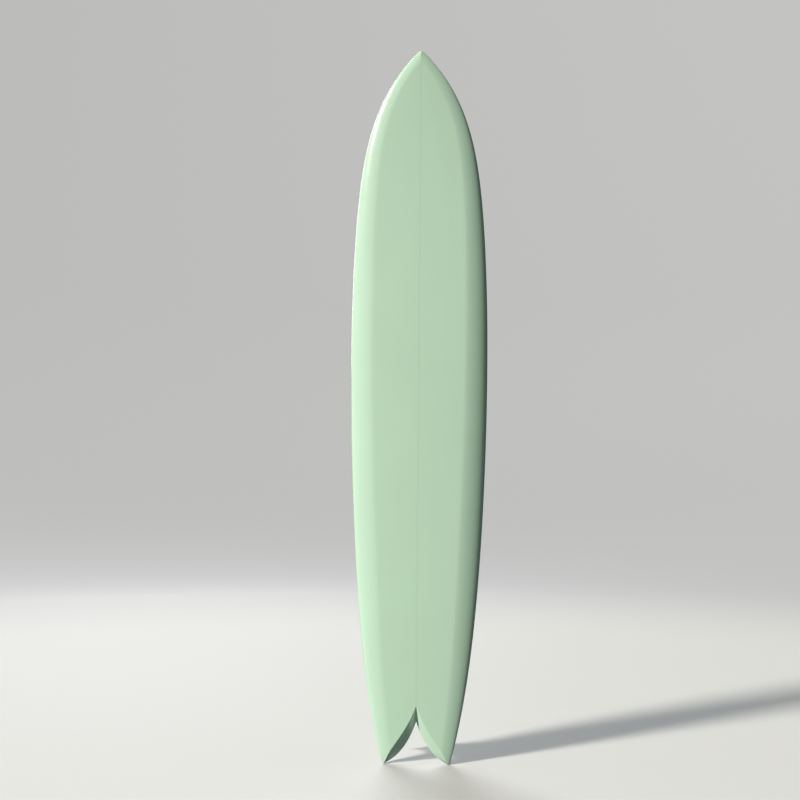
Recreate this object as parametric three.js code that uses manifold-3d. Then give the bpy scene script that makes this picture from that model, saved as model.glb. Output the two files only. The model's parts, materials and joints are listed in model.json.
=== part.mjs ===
// A long fish-tailed surfboard, standing on its two tail tips, in millimetres with +Z up.
// The deck faces -Y and the bottom, with its two fins, faces +Y. The stringer lies in the plane x = 0.
// The origin is midway between the two tail tips, on the level that they stand on.
import * as THREE from 'three';
import { mergeVertices } from 'three/addons/utils/BufferGeometryUtils.js';
import Module from 'manifold-3d';

const wasm = await Module();
wasm.setup();

// ---- Overall shape ----
const boardLength = 2985;
const boardWidth = 580;
const boardThickness = 80;
const widePointFromTail = 1735;
const tailSpan = 268; // across the outsides of the two tail tips
const noseTipWidth = 12; // the outline's width where its tip starts to round off
const noseRocker = 118;
const tailRocker = 70;
const noseThickness = 16;
const tailThickness = 18;

// How the overall shape runs from the middle to each end
const noseTaper = { parabola: 0.31, power: 5.8 };
const tailTaper = { parabola: 0.388, power: 6.5 };
const noseRoundingPower = 500;
const noseRockerPower = 3;
const tailRockerPower = 2.3;
const thicknessPower = 2.6;

// ---- Rails ----
const railBandMiddle = 97; // from the flat deck's edge to the widest line of the rail
const railBandNose = 34;
const railBandTail = 45;
const railBandWidestFromTail = 1100;
const deckCrown = 9;
const railApexShare = 0.4; // how far up the thickness the widest line lies
const railTuckNose = 46; // the rounded width under the rail
const railTuckTail = 12;
const railTuckGrows = [0.1, 0.45]; // the shares of the length between which the tuck widens
const railRoll = { start: 1.5, fullness: 0.53 }; // the superellipse that rolls the deck down to the rail

// ---- Swallow tail ----
const swallowDepthDeck = 224;
const swallowDepthBottom = 157;
const tailTipLand = 7; // the flat width that each tail tip stands on
// The inner points of each edge's curve, as shares of half the gap and of the depth
const swallowDeckShares = [[0.96, 0.23], [0.32, 0.48]];
const swallowBottomShares = [[0.35, 0.2]];

// ---- Glassing, from the outside in ----
const outerCloth = 1.2;
const innerCloth = 0.9;
const clearance = 0.3;
const lapWidth = 50;
const facingThickness = 1.5;
const noseTipLength = 44;
const tailTipLength = 35;
const stringerWidth = 5;

// ---- Fins and their boxes ----
const finBase = 200;
const finDepth = 125;
const finRootThickness = 9;
const finEdgeThickness = 1.2;
const finCant = THREE.MathUtils.degToRad(6);
const finToeIn = THREE.MathUtils.degToRad(1.5);
const finCentreFromTail = 225;
const finFromRail = 62; // measured across the board at the middle of the fin
const tabThickness = 6.5;
const tabShorterBy = 4; // than the fin's base
const tabDepth = 11;
const slotClearance = 0.35;
const boxWall = 4.5;
const boxFloor = 2.6;
const boxBelowSurface = 0.3; // keeps the flat box top down to the bottom's slight curve
const padMargin = 7;
const padFloor = 2.5;
const padBelowFoam = 0.6;
const bladeTipBack = -112; // the blade tip's place along the board, from the middle of the fin's base
const bladeCutaway = 12;
const bladeOverhang = 20;
const bladeAboveBoard = 0.7;

// ---- Grub screws that clamp the fin tabs ----
const screwDiameter = 6;
const screwLength = 7;
const screwTipDiameter = 3.6;
const screwSpacing = 140;
const screwTilt = THREE.MathUtils.degToRad(40);
const screwTipDown = 6.5; // how far below the box's top the screw's tip is
const screwTipGap = 0.4; // between the screw's tip and the tab that it clamps
const hexKeySize = 3;
const socketDepth = 3;
const bossRadius = 8;

// ---- Values worked out from those above ----
const middle = boardLength / 2;
const innerClothInset = outerCloth + clearance;
const foamInset = innerClothInset + innerCloth + clearance;
const noseEnd = boardLength - noseTipLength;
const swallowClearance = 2 * clearance; // measured flat, because the swallow's walls slope
const slotWidth = tabThickness + 2 * slotClearance;
const slotDepth = tabDepth + slotClearance;
const tabLength = finBase - tabShorterBy;
const slotLength = tabLength + 2 * slotClearance;
const boxWidth = slotWidth + 2 * boxWall;
const boxLength = slotLength + 2 * boxWall;
const boxDepth = slotDepth + boxFloor;
const boxTop = -boxBelowSurface;
const padTop = -foamInset - padBelowFoam;
const screwTipOut = tabThickness / 2 + screwTipGap + (screwTipDiameter / 2) * Math.cos(screwTilt);

const material = (name, color, roughness, metalness = 0) =>
  new THREE.MeshStandardMaterial({ name, color, roughness, metalness });
const materials = {
  deck: material('deck_resin', 0xb4d3b3, 0.18),
  bottom: material('bottom_resin', 0xa9cbab, 0.18),
  innerCloth: material('glass_cloth', 0xd6e0d4, 0.55),
  foam: material('white_foam', 0xf1efe6, 0.95),
  pad: material('dense_foam', 0xd9c99a, 0.9),
  wood: material('stringer_wood', 0xcaa873, 0.7),
  box: material('fin_box_plastic', 0xe6e8e4, 0.45),
  fin: material('fin_fibreglass', 0x6c7472, 0.2),
  screw: material('stainless_steel', 0xb8bbbe, 0.3, 1),
};

// ---- Meshes and solids ----

const samePlace = 2e-3;

// A closed mesh from triangles of three points each. A triangle with two corners in one place is
// dropped, and if the faces point inwards they are all turned round.
function meshOf(triangles) {
  const apart = (a, b) => a.distanceTo(b) > samePlace;
  const kept = triangles.filter(([a, b, c]) => apart(a, b) && apart(b, c) && apart(c, a));
  const volume = kept.reduce((sum, [a, b, c]) => sum + a.dot(b.clone().cross(c)), 0);
  const points = kept.flatMap(([a, b, c]) => (volume < 0 ? [a, c, b] : [a, b, c]));
  return new THREE.BufferGeometry().setFromPoints(points);
}

// Two triangles that split a four-sided patch from its first corner, or from its second.
function patch([a, b, c, d], fromSecond = false) {
  return fromSecond ? [[b, c, d], [b, d, a]] : [[a, b, c], [a, c, d]];
}

// Joins rings of equal length into a tube, and closes each end with a fan. From the span called
// mirrorsFrom the patches are split the other way, so that a ring with two like halves stays one.
function loft(rings, mirrorsFrom = Infinity) {
  const triangles = [];
  for (let k = 0; k + 1 < rings.length; k++) {
    rings[k].forEach((point, i) => {
      const next = (i + 1) % rings[k].length;
      const corners = [point, rings[k][next], rings[k + 1][next], rings[k + 1][i]];
      triangles.push(...patch(corners, i >= mirrorsFrom));
    });
  }
  const first = rings[0];
  const last = rings[rings.length - 1];
  for (let i = 1; i + 1 < first.length; i++) {
    triangles.push([first[0], first[i + 1], first[i]], [last[0], last[i], last[i + 1]]);
  }
  return meshOf(triangles);
}

// A thick sheet between two grids of points, with its four edges closed. Its patches are split from
// the second corner in one half of the columns, and from the first in the other.
function sheet(outer, inner, secondInFirstHalf) {
  const triangles = [];
  const lastRow = outer.length - 1;
  const lastColumn = outer[0].length - 1;
  for (let k = 0; k < lastRow; k++) {
    for (let i = 0; i < lastColumn; i++) {
      const fromSecond = secondInFirstHalf === i < lastColumn / 2;
      const corners = (points) => [points[k][i], points[k][i + 1], points[k + 1][i + 1], points[k + 1][i]];
      triangles.push(...patch(corners(outer), fromSecond));
      triangles.push(...patch(corners(inner), fromSecond).map(([a, b, c]) => [a, c, b]));
    }
    triangles.push(...patch([outer[k][0], outer[k + 1][0], inner[k + 1][0], inner[k][0]]));
    const edge = [outer, inner].map((points) => [points[k][lastColumn], points[k + 1][lastColumn]]);
    triangles.push(...patch([edge[0][1], edge[0][0], edge[1][0], edge[1][1]]));
  }
  for (let i = 0; i < lastColumn; i++) {
    triangles.push(...patch([outer[0][i], inner[0][i], inner[0][i + 1], outer[0][i + 1]]));
    const end = [outer, inner].map((points) => [points[lastRow][i], points[lastRow][i + 1]]);
    triangles.push(...patch([end[0][0], end[0][1], end[1][1], end[1][0]]));
  }
  return meshOf(triangles);
}

function solidOf(geometry, matrix = new THREE.Matrix4()) {
  const bare = geometry.index ? geometry.toNonIndexed() : geometry.clone();
  bare.deleteAttribute('normal');
  bare.deleteAttribute('uv');
  const merged = mergeVertices(bare.applyMatrix4(matrix), samePlace / 2);
  const triVerts = new Uint32Array(merged.index.array);
  if (matrix.determinant() < 0) triVerts.reverse(); // a mirroring matrix turns each face round
  return new wasm.Manifold(
    new wasm.Mesh({ numProp: 3, vertProperties: merged.attributes.position.array, triVerts }),
  );
}

function geometryOf(solid) {
  const mesh = solid.getMesh();
  const geometry = new THREE.BufferGeometry();
  geometry.setAttribute('position', new THREE.BufferAttribute(mesh.vertProperties, 3));
  geometry.setIndex(new THREE.BufferAttribute(mesh.triVerts, 1));
  const flat = geometry.toNonIndexed();
  flat.computeVertexNormals();
  return flat;
}

function namedMesh(name, geometry, material) {
  geometry.computeVertexNormals();
  const mesh = new THREE.Mesh(geometry, material);
  mesh.name = name;
  return mesh;
}

// A block with sides parallel to the axes, from its lowest to its highest corner.
function block(low, high) {
  const size = high.map((value, axis) => value - low[axis]);
  const centre = high.map((value, axis) => (value + low[axis]) / 2);
  return solidOf(new THREE.BoxGeometry(...size).translate(...centre));
}

// ---- The board's surface ----

// How far a height lies from the wide point, as a share of the way to that end of the board.
function fromWidePoint(height) {
  const nose = height > widePointFromTail;
  const share = (height - widePointFromTail) / (nose ? boardLength - widePointFromTail : widePointFromTail);
  return { nose, share: Math.min(Math.abs(share), 1) };
}

// The outline's half width before the nose tip is rounded off: a parabola that a high power bends
// in towards each end.
function outlineBeforeRounding(height) {
  const { nose, share } = fromWidePoint(height);
  const { parabola, power } = nose ? noseTaper : tailTaper;
  const endShare = (nose ? noseTipWidth : tailSpan) / boardWidth;
  return (boardWidth / 2) * (1 - parabola * share ** 2 - (1 - parabola - endShare) * share ** power);
}

// Falls from 1 to 0 over the last few millimetres of the nose, as a quarter circle does.
function noseRounding(height) {
  const { nose, share } = fromWidePoint(height);
  return nose ? Math.sqrt(Math.max(1 - share ** noseRoundingPower, 0)) : 1;
}

const halfWidthAt = (height) => outlineBeforeRounding(height) * noseRounding(height);

function bottomAt(height) {
  const share = (height - middle) / middle;
  const drop = share > 0 ? noseRocker * share ** noseRockerPower : tailRocker * (-share) ** tailRockerPower;
  return tailThickness / 2 + tailRocker - drop;
}

function thicknessAt(height) {
  const share = (height - middle) / middle;
  const end = share > 0 ? noseThickness : tailThickness;
  return (boardThickness - (boardThickness - end) * Math.abs(share) ** thicknessPower) * noseRounding(height);
}

// The width of the rolled rail on the deck, square to the outline and then straight across the board.
function railBandAt(height) {
  const nose = height > railBandWidestFromTail;
  const end = nose ? railBandNose : railBandTail;
  const reach = nose ? boardLength - railBandWidestFromTail : railBandWidestFromTail;
  const share = Math.abs(height - railBandWidestFromTail) / reach;
  const square = railBandMiddle - (railBandMiddle - end) * share ** (nose ? 3 : 2);
  const slope = outlineBeforeRounding(height + 1) - outlineBeforeRounding(height - 1);
  return square * Math.hypot(1, slope / 2);
}

function railTuckAt(height) {
  const [from, to] = railTuckGrows.map((share) => share * boardLength);
  const share = THREE.MathUtils.smoothstep(height, from, to);
  return THREE.MathUtils.lerp(railTuckTail, railTuckNose, share);
}

// The deck's height above the bottom at a distance from the stringer: flat and slightly crowned, and
// rolled down to the rail's widest line by a superellipse.
function deckHeight(x, height) {
  const halfWidth = halfWidthAt(height);
  const thickness = thicknessAt(height);
  const inBand = Math.max((x - halfWidth) / railBandAt(height) + 1, 0);
  const roll = (1 - Math.min(inBand, 1) ** railRoll.start) ** railRoll.fullness;
  const crown = deckCrown * (thickness / boardThickness) * (x / halfWidth) ** 2;
  return thickness * (railApexShare + (1 - railApexShare) * roll) - crown * roll;
}

// The height of the rounded underside of the rail above the flat bottom.
function tuckHeight(x, height) {
  const halfWidth = halfWidthAt(height);
  const tuck = Math.min(railTuckAt(height), 0.7 * halfWidth);
  const share = Math.max((x - halfWidth) / tuck + 1, 0);
  return railApexShare * thicknessAt(height) * (1 - Math.sqrt(1 - Math.min(share, 1) ** 2));
}

// Half a cross-section, from the middle of the deck round the rail to the middle of the bottom. The
// lap lines of the cloth always fall on the same points, deckLap and bottomLap.
const spansOnDeck = 2;
const spansInBand = 2;
const spansToRail = 4;
const deckLap = spansOnDeck + spansInBand;
const bottomLap = deckLap + 2 * spansToRail;
const halfSpans = bottomLap + 2;

function acrossPositions(height) {
  const halfWidth = halfWidthAt(height);
  const lap = halfWidth - Math.min(lapWidth, 0.45 * halfWidth);
  const edge = Math.min(Math.max(halfWidth - railBandAt(height), 0.3 * halfWidth), 0.9 * lap);
  const evenly = (from, to, spans) =>
    Array.from({ length: spans }, (_, i) => from + ((to - from) * i) / spans);
  const closing = Array.from({ length: spansToRail }, (_, i) => {
    const angle = (Math.PI / 2) * (i / spansToRail);
    return lap + (halfWidth - lap) * Math.sin(angle);
  });
  return {
    deck: [...evenly(0, edge, spansOnDeck), ...evenly(edge, lap, spansInBand), ...closing, halfWidth],
    bottom: [...closing.toReversed(), lap / 2, 0],
  };
}

function halfSection(height) {
  const { deck, bottom } = acrossPositions(height);
  const floor = bottomAt(height);
  return [
    ...deck.map((x) => new THREE.Vector2(x, floor - deckHeight(x, height))),
    ...bottom.map((x) => new THREE.Vector2(x, floor - tuckHeight(x, height))),
  ];
}

// The same half section moved inwards by an inset, square to its curve.
function insetHalfSection(height, inset) {
  const outline = halfSection(height);
  return outline.map((point, i) => {
    if (i === 0) return new THREE.Vector2(0, point.y + inset);
    if (i === outline.length - 1) return new THREE.Vector2(0, point.y - inset);
    const along = outline[i + 1].clone().sub(outline[i - 1]).normalize();
    return new THREE.Vector2(point.x - inset * along.y, point.y + inset * along.x);
  });
}

// Heights that lie closer together towards both ends.
function stations(from, to, spans) {
  return Array.from({ length: spans + 1 }, (_, k) => {
    const share = k / spans;
    const eased = 0.5 - 0.5 * Math.cos(Math.PI * share);
    return from + (to - from) * THREE.MathUtils.lerp(share, eased, 0.8);
  });
}

const boardStations = stations(tailTipLength, noseEnd, 21);
const atHeight = (point, height, side = 1) => new THREE.Vector3(side * point.x, point.y, height);

// The whole board, or a stretch of it, as one solid at an inset.
function blank(inset, heights = boardStations) {
  return loft(
    heights.map((height) => {
      const half = insetHalfSection(height, inset).map((point) => atHeight(point, height));
      const other = half.slice(1, -1).map((p) => new THREE.Vector3(-p.x, p.y, p.z));
      return [...half, ...other.reverse()];
    }),
    halfSpans,
  );
}

// The points of every station at an inset, from one point of the half section round to the same
// point on the other side, over the deck or over the bottom.
function grid(inset, firstPoint, overDeck) {
  return boardStations.map((height) => {
    const half = insetHalfSection(height, inset).map((point) => atHeight(point, height));
    const run = overDeck ? half.slice(0, firstPoint + 1).reverse() : half.slice(firstPoint);
    const back = run.slice(0, -1).map((p) => new THREE.Vector3(-p.x, p.y, p.z));
    return [...run, ...back.reverse()];
  });
}

const clothSheet = (outside, thickness, firstPoint, overDeck) =>
  sheet(grid(outside, firstPoint, overDeck), grid(outside + thickness, firstPoint, overDeck), overDeck);

// ---- The swallow cut ----

const tipInside = tailSpan / 2 - tailTipLand;
const swallowPoints = (shares, depth) =>
  [[1, 0], ...shares, [0, 1]].map(([across, up]) => new THREE.Vector2(across * tipInside, up * depth));
const swallowDeckEdge = new THREE.CubicBezierCurve(...swallowPoints(swallowDeckShares, swallowDepthDeck));
const swallowBottomEdge = new THREE.QuadraticBezierCurve(
  ...swallowPoints(swallowBottomShares, swallowDepthBottom),
);

// One edge of the swallow, from under the tail tip to the crotch, moved into the board by an amount.
function swallowEdge(curve, into) {
  const spans = 12;
  const points = Array.from({ length: spans + 1 }, (_, i) => {
    const along = curve.getTangent(i / spans);
    return curve.getPoint(i / spans).add(new THREE.Vector2(along.y, -along.x).multiplyScalar(into));
  });
  const last = curve.getTangent(1);
  const crotch = points[spans].y - (points[spans].x * last.y) / last.x;
  const belowTip = new THREE.Vector2(points[0].x, -tailTipLength);
  return [belowTip, ...points.slice(0, -1), new THREE.Vector2(0, crotch)];
}

// The tool that cuts the swallow: its walls slope from the deck's edge to the bottom's edge, and
// run on past both faces of the board.
function swallowCutter(into) {
  const deckEdge = swallowEdge(swallowDeckEdge, into);
  const bottomEdge = swallowEdge(swallowBottomEdge, into);
  const shares = [-0.4, 0.1, 0.5, 0.9, 1.4]; // from the deck's edge, 0, to the bottom's edge, 1
  const pointAt = (k, share, side) => {
    const flat = deckEdge[k].clone().lerp(bottomEdge[k], share);
    const deckLevel = bottomAt(deckEdge[k].y) - thicknessAt(Math.max(deckEdge[k].y, 0));
    const level = THREE.MathUtils.lerp(deckLevel, bottomAt(bottomEdge[k].y), share);
    return new THREE.Vector3(side * flat.x, level, flat.y);
  };
  const ring = (k) => {
    const rightWall = shares.map((share) => pointAt(k, share, 1));
    const leftWall = shares.map((share) => pointAt(k, share, -1));
    return [...rightWall, ...leftWall.reverse()];
  };
  return loft(deckEdge.map((_, k) => ring(k)), shares.length);
}

// ---- Fins, in a frame of their own: x away from the stringer, y out of the bottom, z to the nose ----

const finFromStringer = halfWidthAt(finCentreFromTail) - finFromRail;
const bottomSlope = (bottomAt(finCentreFromTail + 1) - bottomAt(finCentreFromTail - 1)) / 2;

function placeInFinFrame(object) {
  object.position.set(finFromStringer, bottomAt(finCentreFromTail), finCentreFromTail);
  object.rotation.set(-Math.atan(bottomSlope), -finToeIn, 0);
  object.updateMatrix();
  return object;
}

// A bar with round ends along z, from its top level down. A length equal to the width gives a disc.
function roundEndedBar({ length, width, top, depth, x = 0, z = 0 }) {
  const radius = width / 2;
  const straight = (length - width) / 2;
  const outline = new THREE.Shape();
  outline.absarc(x, straight - z, radius, 0, Math.PI, false);
  outline.absarc(x, -straight - z, radius, Math.PI, 2 * Math.PI, false);
  const bar = new THREE.ExtrudeGeometry(outline, { depth, bevelEnabled: false, curveSegments: 5 });
  return solidOf(bar.rotateX(-Math.PI / 2).translate(0, top - depth, 0));
}

const screwPlaces = { front: screwSpacing / 2, rear: -screwSpacing / 2 };
const bossOut = -(screwTipOut + screwTipDown * Math.tan(screwTilt));

// The fin box's outside, with a round boss for each screw, larger all round by an amount.
function boxOutside(larger, top, depth) {
  const bar = roundEndedBar({ length: boxLength + 2 * larger, width: boxWidth + 2 * larger, top, depth });
  const bossWidth = 2 * (bossRadius + larger);
  const bosses = Object.values(screwPlaces).map((z) =>
    roundEndedBar({ length: bossWidth, width: bossWidth, top, depth, x: bossOut, z }),
  );
  return bosses.reduce((body, boss) => body.add(boss), bar);
}

// The space between a box's two bosses. The cloth lapped onto the bottom is trimmed straight across
// it, so that no loose strip is left there.
function betweenBosses() {
  const inner = bossRadius + clearance - bossOut;
  const half = screwSpacing / 2;
  return block([-inner, -boxDepth, -half], [0, boxDepth, half]);
}

// A screw's own frame: its tip at the origin and its axis along y.
function placeScrew(object, z) {
  object.position.set(-screwTipOut, boxTop - screwTipDown, z);
  object.rotation.set(0, 0, screwTilt);
  object.updateMatrix();
  return object;
}

// The hole runs past the screw's tip into the slot, and out of the box's top.
function screwHole(z) {
  const radius = screwDiameter / 2 + clearance;
  const length = 3 * screwLength;
  const pastTip = 3;
  const hole = new THREE.CylinderGeometry(radius, radius, length, 20).translate(0, length / 2 - pastTip, 0);
  return solidOf(hole, placeScrew(new THREE.Object3D(), z).matrix);
}

function finBoxGeometry() {
  const above = 1;
  const top = boxTop + above;
  const slot = roundEndedBar({ length: slotLength, width: slotWidth, top, depth: slotDepth + above });
  const body = boxOutside(0, boxTop, boxDepth).subtract(slot);
  return geometryOf(Object.values(screwPlaces).reduce((rest, z) => rest.subtract(screwHole(z)), body));
}

// The dense foam round a fin box, or the slightly larger pocket that it sits in.
function padOutside(larger, top) {
  const outer = boxWidth / 2 + padMargin;
  const inner = bossRadius + padMargin - bossOut;
  const floor = boxTop - boxDepth - clearance - padFloor;
  return roundEndedBar({
    length: boxLength + 2 * (padMargin + larger),
    width: outer + inner + 2 * larger,
    top,
    depth: top - floor + larger,
    x: (outer - inner) / 2,
  });
}

function finPadGeometry() {
  const pocket = boxOutside(clearance, boxTop + clearance, boxDepth + 2 * clearance);
  return geometryOf(padOutside(0, padTop).subtract(pocket));
}

// The blade's section: flat on the inside, and foiled on the outside like the top of a wing.
function bladeRing(share) {
  const points = 7;
  const half = finBase / 2;
  const lead = bladeTipBack + (half - bladeTipBack) * (1 - share ** 2.2) ** 0.62;
  const trail = -half + bladeCutaway * Math.sin(Math.PI * share) - bladeOverhang * share ** 2;
  const up = THREE.MathUtils.lerp(bladeAboveBoard, finDepth, share);
  const thickness = THREE.MathUtils.lerp(finRootThickness, 2 * finEdgeThickness, share);
  const lean = up * Math.tan(finCant) - tabThickness / 2;
  const pointAt = (back, out) => new THREE.Vector3(lean + out, up, THREE.MathUtils.lerp(lead, trail, back));
  const foil = (back) => Math.max(thickness * Math.sin(Math.PI * back ** 0.7) ** 0.8, finEdgeThickness);
  const steps = Array.from({ length: points + 1 }, (_, i) => 0.5 - 0.5 * Math.cos((Math.PI * i) / points));
  const outside = steps.map((back) => pointAt(back, foil(back)));
  const inside = steps.map((back) => pointAt(back, 0));
  return [...outside, ...inside.reverse()];
}

function finGeometry() {
  const levels = [0, 0.12, 0.26, 0.42, 0.58, 0.72, 0.84, 0.92, 0.97, 0.995];
  const rise = 2; // how far the tab runs up into the blade
  const top = bladeAboveBoard + rise;
  const tab = roundEndedBar({ length: tabLength, width: tabThickness, top, depth: tabDepth - boxTop + top });
  return geometryOf(solidOf(loft(levels.map(bladeRing))).add(tab));
}

function screwGeometry() {
  const radius = screwDiameter / 2;
  const edge = 0.5;
  const profile = [
    [0, 0],
    [screwTipDiameter / 2, 0],
    [radius, radius - screwTipDiameter / 2],
    [radius, screwLength - edge],
    [radius - edge, screwLength],
    [0, screwLength],
  ].map(([r, y]) => new THREE.Vector2(r, y));
  const across = hexKeySize / Math.sqrt(3);
  const socket = new THREE.CylinderGeometry(across, across, 2 * socketDepth, 6).translate(0, screwLength, 0);
  return geometryOf(solidOf(new THREE.LatheGeometry(profile, 20)).subtract(solidOf(socket)));
}

// ---- What the swallow and the fin boxes cut out of the board ----

const finFrame = placeInFinFrame(new THREE.Object3D()).matrix;
const otherSide = new THREE.Matrix4().makeScale(-1, 1, 1);
const moved = (solid, matrix) => solidOf(geometryOf(solid), matrix);

const onBothSides = (solid) => solid.add(moved(solid, otherSide));
const boxOpenings = onBothSides(moved(boxOutside(clearance, boxDepth, 2 * boxDepth), finFrame));
const lapTrims = onBothSides(moved(betweenBosses(), finFrame));
const padPocket = moved(padOutside(clearance, boxDepth), finFrame);
const swallow = solidOf(swallowCutter(0));
const swallowInLayers = solidOf(swallowCutter(facingThickness + swallowClearance));
const far = 2 * boardLength;

const cutCloth = (cloth) => solidOf(cloth).subtract(swallowInLayers).subtract(boxOpenings);

// The inner layers meet at the lap line on the deck, and the outer ones at the lap line on the bottom.
const innerSheet = (overDeck) => cutCloth(clothSheet(innerClothInset, innerCloth, deckLap, overDeck));
const outerSheet = (overDeck) => cutCloth(clothSheet(0, outerCloth, bottomLap, overDeck));

function swallowFacingGeometry() {
  const grown = solidOf(swallowCutter(facingThickness));
  return geometryOf(solidOf(blank(0)).intersect(grown).subtract(swallow));
}

const core = solidOf(blank(foamInset)).subtract(swallowInLayers);

function stringerGeometry() {
  const half = stringerWidth / 2;
  return geometryOf(core.intersect(block([-half, -far, -far], [half, far, far])));
}

function foamGeometry() {
  const inside = stringerWidth / 2 + clearance;
  const half = core.intersect(block([inside, -far, -far], [far, far, far]));
  return geometryOf(half.subtract(padPocket));
}

function tailTipGeometry() {
  const heights = [0, 0.12, 0.32, 0.58, 1].map((share) => share * (tailTipLength - clearance));
  const tip = solidOf(blank(0, heights));
  return geometryOf(tip.intersect(block([0, -far, -far], [far, far, far])).subtract(swallow));
}

function noseTipGeometry() {
  const belowTip = [0.65, 0.35, 0.19, 0.1, 0.046, 0.015].map((share) => share * noseTipLength);
  return blank(0, [noseEnd + clearance, ...belowTip.map((below) => boardLength - below)]);
}

// ---- The assembly ----

function middlePieces() {
  const group = new THREE.Group();
  group.add(
    namedMesh('stringer', stringerGeometry(), materials.wood),
    namedMesh('deck_patch', geometryOf(innerSheet(true)), materials.innerCloth),
    namedMesh('bottom_laminate', geometryOf(innerSheet(false)), materials.bottom),
    namedMesh('deck_laminate', geometryOf(outerSheet(true).subtract(lapTrims)), materials.deck),
    namedMesh('bottom_filler_coat', geometryOf(outerSheet(false)), materials.bottom),
    namedMesh('swallow_facing', swallowFacingGeometry(), materials.deck),
    namedMesh('nose_tip', noseTipGeometry(), materials.deck),
  );
  return group;
}

function finAssembly(side, shapes) {
  const group = placeInFinFrame(new THREE.Group());
  group.add(
    namedMesh(`fin_pad_${side}`, shapes.pad, materials.pad),
    namedMesh(`fin_box_${side}`, shapes.box, materials.box),
    namedMesh(`fin_${side}`, shapes.fin, materials.fin),
  );
  for (const [place, z] of Object.entries(screwPlaces)) {
    group.add(placeScrew(namedMesh(`fin_screw_${side}_${place}`, shapes.screw, materials.screw), z));
  }
  return group;
}

// The pieces on one side of the stringer. The left side is the right side mirrored.
function sidePieces(side, shapes) {
  const group = new THREE.Group();
  group.add(
    namedMesh(`foam_${side}`, shapes.foam, materials.foam),
    namedMesh(`tail_tip_${side}`, shapes.tailTip, materials.deck),
    finAssembly(side, shapes),
  );
  group.scale.x = side === 'left' ? -1 : 1;
  return group;
}

const sideShapes = {
  foam: foamGeometry(),
  tailTip: tailTipGeometry(),
  pad: finPadGeometry(),
  box: finBoxGeometry(),
  fin: finGeometry(),
  screw: screwGeometry(),
};

const surfboard = new THREE.Group();
surfboard.add(middlePieces(), ...['left', 'right'].map((side) => sidePieces(side, sideShapes)));

export default surfboard;
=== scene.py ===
# A long fish-tailed surfboard in polished mint resin, standing upright with its deck towards -Y.
# Lengths are in metres. The driving values are the same as the frame's own.
import json
import math

import bmesh
import bpy
import numpy as np
from mathutils import Euler, Matrix, Vector


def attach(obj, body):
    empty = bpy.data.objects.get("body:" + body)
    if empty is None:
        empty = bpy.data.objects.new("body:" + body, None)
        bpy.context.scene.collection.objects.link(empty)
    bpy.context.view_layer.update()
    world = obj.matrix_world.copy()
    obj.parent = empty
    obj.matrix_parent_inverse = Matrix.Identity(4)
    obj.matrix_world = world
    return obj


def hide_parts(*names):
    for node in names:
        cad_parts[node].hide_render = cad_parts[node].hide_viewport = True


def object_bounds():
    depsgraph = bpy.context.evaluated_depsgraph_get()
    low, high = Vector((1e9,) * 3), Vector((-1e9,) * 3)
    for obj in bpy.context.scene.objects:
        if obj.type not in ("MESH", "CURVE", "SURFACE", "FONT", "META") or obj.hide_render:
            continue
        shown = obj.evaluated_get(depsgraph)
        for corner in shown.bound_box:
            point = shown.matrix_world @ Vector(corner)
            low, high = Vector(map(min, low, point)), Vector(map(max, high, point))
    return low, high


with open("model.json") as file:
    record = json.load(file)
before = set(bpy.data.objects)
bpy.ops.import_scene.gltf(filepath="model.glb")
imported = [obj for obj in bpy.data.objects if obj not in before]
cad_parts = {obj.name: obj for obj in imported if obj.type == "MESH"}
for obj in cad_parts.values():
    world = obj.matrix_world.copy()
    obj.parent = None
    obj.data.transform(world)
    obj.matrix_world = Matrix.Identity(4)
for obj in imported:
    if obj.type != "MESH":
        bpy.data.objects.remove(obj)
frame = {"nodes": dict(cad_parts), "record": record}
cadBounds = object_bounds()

print("frame loaded with", len(frame["nodes"]), "nodes")

view = {"place": (0.0915, -3.6249, 0.9626), "tilt": 97.70, "roll": -0.62, "turn": 2.59, "lens": 39.4}


def makeCamera():
    data = bpy.data.cameras.new("viewCamera")
    data.lens = view["lens"]
    camera = bpy.data.objects.new("viewCamera", data)
    camera.location = view["place"]
    angles = [math.radians(view[name]) for name in ("tilt", "roll", "turn")]
    camera.rotation_euler = Euler(angles, "XYZ")
    bpy.context.scene.collection.objects.link(camera)
    bpy.context.scene.camera = camera
    bpy.context.scene.view_settings.view_transform = "Standard"  # pastel colours keep their strength


makeCamera()
print("camera placed")

# the board's surface as formulas: x out from the stringer, y out of the bottom, z up from the tail
board = {
    "length": 2.985,
    "width": 0.580,
    "thickness": 0.080,
    "widePoint": 1.735,  # from the tail
    "tailSpan": 0.268,
    "noseTipWidth": 0.012,
    "noseRocker": 0.118,
    "tailRocker": 0.070,
    "noseRockerPower": 3,
    "tailRockerPower": 2.3,
    "noseThickness": 0.016,
    "tailThickness": 0.018,
    "thicknessPower": 2.6,
    "noseTaper": (0.31, 5.8),  # share taken by the parabola, and the power that bends the rest in
    "tailTaper": (0.388, 6.5),
    "noseRounding": 500,
    "railBand": (0.045, 0.097, 0.034),  # at the tail, at its widest, at the nose
    "railBandPlace": 1.100,
    "railBandPower": (2, 3),  # to the tail, to the nose
    "deckCrown": 0.009,
    "railApex": 0.4,  # share of the thickness above the bottom
    "railTuck": (0.012, 0.046),  # near the tail, and further on
    "railTuckGrows": (0.1, 0.45),  # shares of the length
    "railTuckMost": 0.7,  # share of the half width
    "railRoll": (1.5, 0.53),  # the superellipse's two powers
    "lap": 0.050,
    "lapMost": 0.45,  # share of the half width
}
smallest = 1e-9  # keeps a division away from 0 at the nose's tip
widthFit = (cadBounds[1].x - cadBounds[0].x) / board["width"]  # keeps the smooth rail inside the frame's box


def slopeAt(curve, z, step=0.001):
    return (curve(z + step) - curve(z - step)) / (2 * step)


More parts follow.
